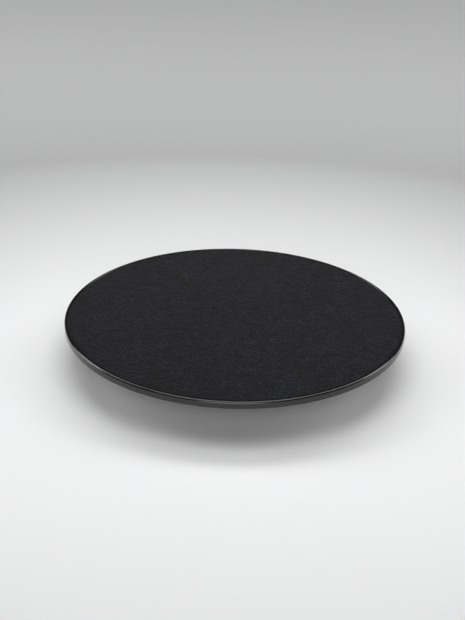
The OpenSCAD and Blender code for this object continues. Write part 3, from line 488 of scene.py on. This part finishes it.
def make_ribs():
    """The 24 radial ribs, with rounded lower edges, sunk a little into the plate and the skirt."""
    count, inner, outer = 24, 27.5 * MM, SKIRT_INNER_R + 0.3 * MM
    low, high, soft, soft_steps = RIB_Z + 0.02 * MM, PLATE_Z + 0.2 * MM, 0.3 * MM, 4
    flare, flare_h = 0.12 * MM, 0.4 * MM
    section = [(RIB_HALF + flare, high), (RIB_HALF, PLATE_Z - flare_h)]
    section += [(RIB_HALF - soft + soft * math.cos(t), low + soft - soft * math.sin(t))
                for t in (math.pi / 2 * k / soft_steps for k in range(soft_steps + 1))]
    section += [(-y, z) for y, z in reversed(section)]
    stations = 12
    verts, faces = [], []
    for i in range(count):
        c, s = math.cos(2 * math.pi * i / count), math.sin(2 * math.pi * i / count)
        start = len(verts)
        for k in range(stations + 1):
            r = inner + (outer - inner) * k / stations
            verts += [(r * c - y * s, r * s + y * c, z) for y, z in section]
        n = len(section)
        for k in range(stations):
            for j in range(n):
                q = (j + 1) % n
                a = start + k * n
                faces.append((a + j, a + n + j, a + n + q, a + q))
        faces.append(tuple(start + j for j in range(n)))
        faces.append(tuple(start + stations * n + j for j in reversed(range(n))))
    ribs = mesh_object("platter_ribs", verts, faces)
    ribs.data.set_sharp_from_angle(angle=math.radians(RIB_CREASE))
    return ribs


# ---- the felt mat ----

# layers of the nap, from fine to wide: noise scale per metre, height in the noise, size in metres
NAP = ((560.0, 0.3, 0.00008), (150.0, 7.1, 0.00006), (28.0, 3.7, 0.00003))


def nap_height(x, y):
    """How far the nap stands off its mean level, in metres."""
    return sum(height * noise.noise(Vector((x * scale, y * scale, place))) for scale, place, height in NAP)


def make_felt():
    """The felt disc: a top of napped rings, its cut edge and its underside, as one closed mesh."""
    step = 0.0012
    # the nap's mean level under the mat's top, and how far and how wide its edge is rounded off
    nap_drop, edge_drop, edge_w = 0.0001, 0.00035, 0.0016
    rings = int(MAT_R / step)
    counts = [1] + [6 * k for k in range(1, rings + 1)]
    verts = []
    for k, n in enumerate(counts):
        r = MAT_R * k / rings
        for j in range(n):
            a = 2 * math.pi * (j + 0.5 * (k % 2)) / n
            x, y = r * math.cos(a), r * math.sin(a)
            inward = (MAT_R - r) / edge_w
            drop = edge_drop * max(0.0, 1.0 - inward) ** 2
            verts.append((x, y, MAT_TOP - nap_drop + nap_height(x, y) - drop))
    starts = [0]
    for n in counts:
        starts.append(starts[-1] + n)
    faces = ring_fill(counts, starts)
    # the cut edge, slightly uneven, and the glued underside
    inset, fray, cut_drop = 0.0001, 0.00012, 0.0007
    fray_round, fray_down = 9.0, 900.0
    n, top = counts[-1], starts[len(counts) - 1]
    for z, edge_r in ((MAT_TOP - cut_drop, MAT_R - inset), (MAT_BOTTOM, MAT_R - 2 * inset)):
        for j in range(n):
            a = 2 * math.pi * (j + 0.5 * (rings % 2)) / n
            spot = Vector((math.cos(a) * fray_round, math.sin(a) * fray_round, z * fray_down))
            wobble = fray * noise.noise(spot)
            verts.append(((edge_r + wobble) * math.cos(a), (edge_r + wobble) * math.sin(a), z))
    low = len(verts) - 2 * n
    for a0, b0 in ((top, low), (low, low + n)):
        for j in range(n):
            q = (j + 1) % n
            faces.append((a0 + j, b0 + j, b0 + q, a0 + q))
    verts.append((0.0, 0.0, MAT_BOTTOM))
    centre = len(verts) - 1
    faces += [(centre, low + n + (j + 1) % n, low + n + j) for j in range(n)]
    return mesh_object("felt_mat", verts, faces)


# ---- studio ----

# the floor's grey at distances in metres from its centre: a painted pool of light round the object, darkening
# outwards and lightening again far off
FLOOR_PAINTED_LIGHT_STOPS = [(0.0, 0.87), (0.25, 0.86), (0.38, 0.77), (0.55, 0.6), (0.67, 0.48), (0.83, 0.34), (1.1, 0.42),
               (1.7, 0.64), (3.0, 0.78)]
# centre of the floor's painted pool of light
FLOOR_CENTRE = (0.0, -0.25)
FLOOR_HALF = 6.0
# the world's grey by height, from the horizon at 0 to straight up at 1
WORLD_STOPS = [(0.0, 1.0), (0.08, 0.95), (0.2, 0.3), (0.34, 0.04), (1.0, 0.03)]
WORLD_STRENGTH = 1.2
# name, place and size in metres, power in watts; all face the object
SOFTBOXES = [("softbox_back", (0.0, 0.74, 0.92), (1.7, 0.3), 10.4),
             ("softbox_high", (0.0, 0.174, 1.325), (1.1, 0.3), 3.2),
             ("softbox_top", (0.0, -0.17, 1.37), (1.1, 0.3), 2.2),
             ("softbox_fore", (0.0, -0.51, 1.325), (1.1, 0.3), 0.7)]
SOFTBOX_AIM = Vector((0.0, 0.0, 0.03))
# name, azimuth, elevation and width in degrees, strength
WALLS = [("wall_front", 0.0, 20.0, 44.0, 1.5),
         ("wall_left", -115.0, 25.0, 30.0, 0.8),
         ("wall_right", 115.0, 25.0, 30.0, 0.75)]


def make_floor():
    """A pale paper floor with a painted pool of light: its colour is brightest round the object."""
    half, reach = FLOOR_HALF, FLOOR_PAINTED_LIGHT_STOPS[-1][0]
    corners = [(-half, -half, 0), (half, -half, 0), (half, half, 0), (-half, half, 0)]
    floor = mesh_object("studio_floor", corners, [(0, 1, 2, 3)], smooth=False)
    s = Shader("studio_floor", (0.86, 0.86, 0.86), 0.9, Specular_IOR_Level=0.0)
    shift = s.node("ShaderNodeVectorMath", operation="SUBTRACT")
    shift.inputs[1].default_value = (*FLOOR_CENTRE, 0.0)
    s.link(s.place(), shift.inputs[0])
    length = s.node("ShaderNodeVectorMath", operation="LENGTH")
    s.link(shift.outputs["Vector"], length.inputs[0])
    away = s.spread(length.outputs["Value"], 0.0, reach)
    s.color(s.ramp(away, [(r / reach, (v * 0.985, v * 0.99, v)) for r, v in FLOOR_PAINTED_LIGHT_STOPS]))
    floor.data.materials.append(s.mat)


def area_light(name, place, size, power):
    """A rectangular softbox that faces the object and that the camera doesn't see."""
    data = bpy.data.lights.new(name, "AREA")
    data.shape = "RECTANGLE"
    data.size, data.size_y = size
    data.energy = power
    obj = bpy.data.objects.new(name, data)
    obj.location = place
    obj.rotation_euler = (Vector(place) - SOFTBOX_AIM).to_track_quat("Z", "Y").to_euler()
    obj.visible_camera = False
    bpy.context.scene.collection.objects.link(obj)


def wide_light(name, azimuth, elevation, width, power):
    """A far pale wall's glow: soft light from one side, even all over the floor. Angles are in degrees."""
    data = bpy.data.lights.new(name, "SUN")
    data.angle = math.radians(width)
    data.energy = power
    obj = bpy.data.objects.new(name, data)
    a, e = math.radians(azimuth), math.radians(elevation)
    away = Vector((math.sin(a) * math.cos(e), -math.cos(a) * math.cos(e), math.sin(e)))
    obj.location = away
    obj.rotation_euler = away.to_track_quat("Z", "Y").to_euler()
    bpy.context.scene.collection.objects.link(obj)


def make_world():
    """A pale band round the horizon that darkens upwards, like a sweep that ends below the lamps."""
    world = bpy.data.worlds.new("studio")
    world.use_nodes = True
    nodes, links = world.node_tree.nodes, world.node_tree.links
    coords = nodes.new("ShaderNodeTexCoord")
    split = nodes.new("ShaderNodeSeparateXYZ")
    ramp = nodes.new("ShaderNodeValToRGB")
    while len(ramp.color_ramp.elements) < len(WORLD_STOPS):
        ramp.color_ramp.elements.new(0.5)
    for item, (pos, value) in zip(ramp.color_ramp.elements, WORLD_STOPS):
        item.position = pos
        item.color = (value, value * 0.99, value * 0.965, 1.0)
    background = nodes["Background"]
    links.new(coords.outputs["Generated"], split.inputs["Vector"])
    links.new(split.outputs["Z"], ramp.inputs["Fac"])
    links.new(ramp.outputs["Color"], background.inputs["Color"])
    background.inputs["Strength"].default_value = WORLD_STRENGTH
    bpy.context.scene.world = world


# ---- build ----

make_camera()
for name, obj in NODES.items():
    dress(obj, SLOT_OF[name])

add_piece(make_platter(), "platter", "gloss_black", "platter")
add_piece(make_ribs(), "platter", "gloss_black")

felt = make_felt()
add_piece(felt, "platter", "felt", "display_mat")

make_floor()
for name, place, size, power in SOFTBOXES:
    area_light(name, place, size, power)
for name, azimuth, elevation, width, power in WALLS:
    wide_light(name, azimuth, elevation, width, power)
make_world()
bpy.context.scene.view_settings.view_transform = "Standard"
